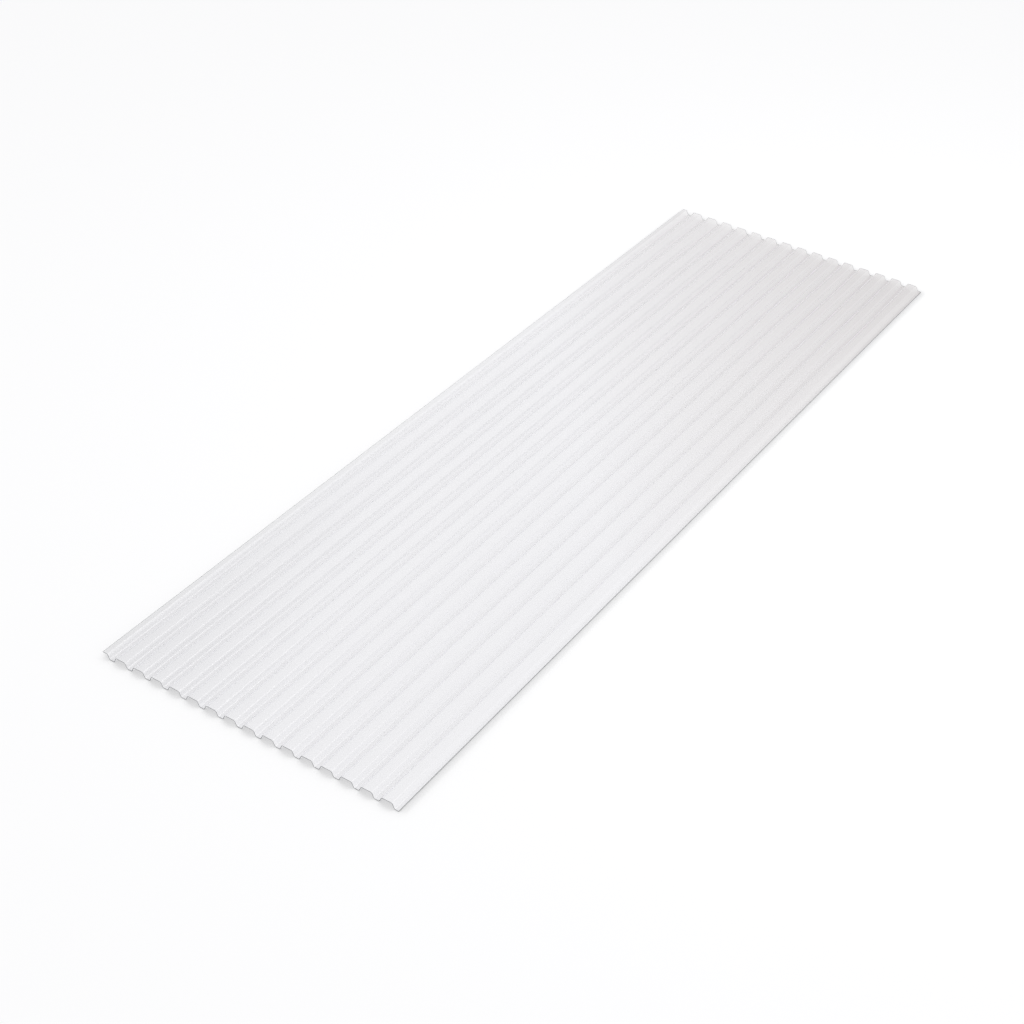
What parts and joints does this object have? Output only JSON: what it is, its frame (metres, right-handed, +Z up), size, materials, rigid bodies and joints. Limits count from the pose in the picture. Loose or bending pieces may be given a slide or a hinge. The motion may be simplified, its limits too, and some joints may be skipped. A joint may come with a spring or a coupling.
{
  "type": "corrugated acrylic sheet",
  "caption": "Clear corrugated acrylic roofing sheet with broad flat crests and narrow round-bottomed troughs, one edge on a crest and the other in a trough.",
  "frame": {"origin": "below the middle of the sheet, on the plane that the undersides of the troughs lie on", "axes": "+X across the waves, from the edge that ends on a crest to the edge that ends in a trough; +Y along the waves; +Z up, out of the face with the broad crests"},
  "size_m": [1.09, 3.5, 0.02],
  "materials": {
    "clear_acrylic": "clear, smooth and glossy, with a faint cool tint and fine drawn lines along the waves"
  },
  "bodies": {
    "root": {"corrugated_sheet": "clear_acrylic"}
  },
  "joints": []
}
